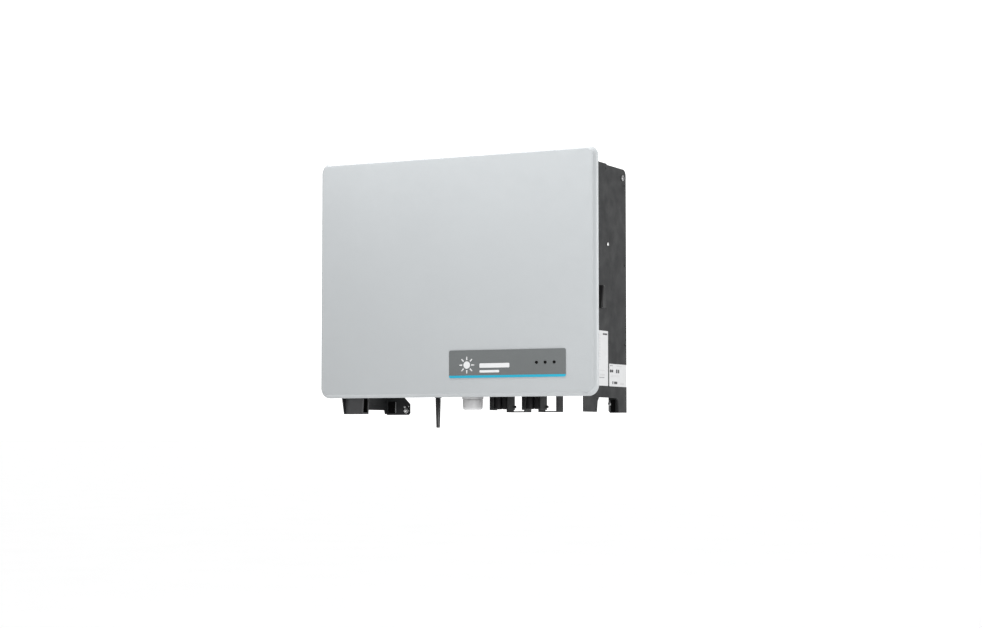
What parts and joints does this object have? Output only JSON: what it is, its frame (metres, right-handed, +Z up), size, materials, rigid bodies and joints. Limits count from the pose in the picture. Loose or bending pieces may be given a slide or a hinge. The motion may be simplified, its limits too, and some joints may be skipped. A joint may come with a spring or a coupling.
{
  "type": "string inverter",
  "caption": "Wall-hung string inverter: light grey front cover, dark housing with side-plate feet, heat sink, plug bays, rotary switch, antenna and hook-on wall bracket.",
  "frame": {"origin": "middle of the wall bracket's back face, which lies on the wall", "axes": "+X to the right seen from the front, +Y into the wall, +Z up; the front cover faces -Y"},
  "size_m": [0.53, 0.2024, 0.463],
  "materials": {
    "cover_paint": "satin light grey powder coat",
    "strip_grey": "matt grey overlay film",
    "band_cyan": "matt printed band",
    "led_black": "smoked light pipe",
    "body_grey": "dark grey fine textured powder coat",
    "cast_aluminium": "as cast",
    "zinc": "zinc plated",
    "black_plastic": "moulded",
    "grey_nylon": "light grey nylon",
    "black_rubber": "matt",
    "label_white": "printed film",
    "board_green": "solder mask",
    "capacitor_sleeve": "sleeved can",
    "winding_copper": "enamelled wire"
  },
  "bodies": {
    "wall_bracket": {"wall_bracket": "zinc"},
    "chassis": {"ac_socket_insert": "black_plastic", "ac_socket_shell": "black_plastic", "accent_band": "band_cyan", "antenna_base": "black_plastic", "boost_choke_1": "winding_copper", "boost_choke_2": "winding_copper", "breather_vent": "black_plastic", "comm_gland_body": "grey_nylon", "comm_gland_seal": "black_rubber", "control_board": "board_green", "cover_standoff_1": "zinc", "cover_standoff_2": "zinc", "cover_standoff_3": "zinc", "cover_standoff_4": "zinc", "dc_connector_front_1_minus": "black_plastic", "dc_connector_front_1_plus": "black_plastic", "dc_connector_front_2_minus": "black_plastic", "dc_connector_front_2_plus": "black_plastic", "dc_connector_rear_1_minus": "black_plastic", "dc_connector_rear_1_plus": "black_plastic", "dc_connector_rear_2_minus": "black_plastic", "dc_connector_rear_2_plus": "black_plastic", "dc_link_capacitor_1": "capacitor_sleeve", "dc_link_capacitor_2": "capacitor_sleeve", "dc_link_capacitor_3": "capacitor_sleeve", "dc_switch_body": "black_plastic", "dc_switch_escutcheon": "black_plastic", "fan_frame": "black_plastic", "front_cover": "cover_paint", "ground_bolt": "zinc", "hanger_rail": "zinc", "heat_sink": "cast_aluminium", "housing": "body_grey", "inner_lid": "body_grey", "left_foot_block": "body_grey", "lid_gasket": "black_rubber", "name_strip": "strip_grey", "notice_label": "label_white", "output_choke": "winding_copper", "plug_guard_front_1": "body_grey", "plug_guard_front_2": "body_grey", "plug_guard_rear_1": "body_grey", "plug_guard_rear_2": "body_grey", "power_board": "board_green", "power_module": "black_plastic", "rating_label": "label_white", "rear_bolt": "zinc", "side_plate_left": "body_grey", "side_plate_right": "body_grey", "side_screw": "zinc", "status_led_1": "led_black", "status_led_2": "led_black", "status_led_3": "led_black"},
    "dc_switch": {"dc_switch_knob": "black_plastic", "dc_switch_shaft": "zinc"},
    "antenna_swivel": {"antenna_knuckle": "black_plastic"},
    "antenna_tilt": {"antenna_whip": "black_plastic"},
    "gland_nut": {"comm_gland_nut": "grey_nylon"},
    "fan_rotor": {"fan_rotor": "black_plastic"}
  },
  "joints": [
    {"name": "hang_slide", "type": "slide", "parent": "wall_bracket", "child": "chassis", "axis": [0, 0, 1], "range_m": [0, 0.02]},
    {"name": "dc_switch_turn", "type": "hinge", "parent": "chassis", "child": "dc_switch", "pos_m": [0.2383, -0.141, -0.0753], "axis": [1, 0, 0], "range_deg": [0, 90]},
    {"name": "antenna_swivel_turn", "type": "hinge", "parent": "chassis", "child": "antenna_swivel", "pos_m": [-0.0825, -0.101, -0.236], "axis": [0, 0, 1], "range_deg": [-180, 180]},
    {"name": "antenna_tilt_turn", "type": "hinge", "parent": "antenna_swivel", "child": "antenna_tilt", "pos_m": [-0.0825, -0.101, -0.236], "axis": [1, 0, 0], "range_deg": [0, 90]},
    {"name": "gland_nut_turn", "type": "hinge", "parent": "chassis", "child": "gland_nut", "pos_m": [0.0015, -0.131, -0.2608], "axis": [0, 0, -1], "range_deg": [0, 90]},
    {"name": "fan_spin", "type": "hinge", "parent": "chassis", "child": "fan_rotor", "pos_m": [-0.182, -0.146, 0.06], "axis": [0, 1, 0], "continuous": true}
  ]
}
